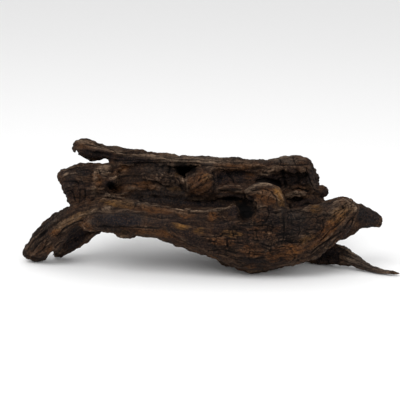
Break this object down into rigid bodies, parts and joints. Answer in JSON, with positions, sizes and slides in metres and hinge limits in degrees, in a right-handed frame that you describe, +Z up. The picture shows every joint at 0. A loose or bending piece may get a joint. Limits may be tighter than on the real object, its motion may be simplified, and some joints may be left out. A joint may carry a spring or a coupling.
{
  "type": "ebony wood trunk",
  "caption": "Weathered dark ebony driftwood trunk with a hollowed channel, an arched foot, a blunt beak and a thin spike, lying on its belly.",
  "frame": {"origin": "on the ground the trunk lies on, under the middle of its bounding box", "axes": "+X along the trunk from the foot to the spike, +Y from the front lobe to the back wall, +Z up"},
  "size_m": [0.45, 0.1554, 0.1478],
  "materials": {
    "weathered_ebony": "dry, dull and fibrous, checked and cracked by weather"
  },
  "bodies": {
    "root": {"ebony_trunk": "weathered_ebony"}
  },
  "joints": []
}
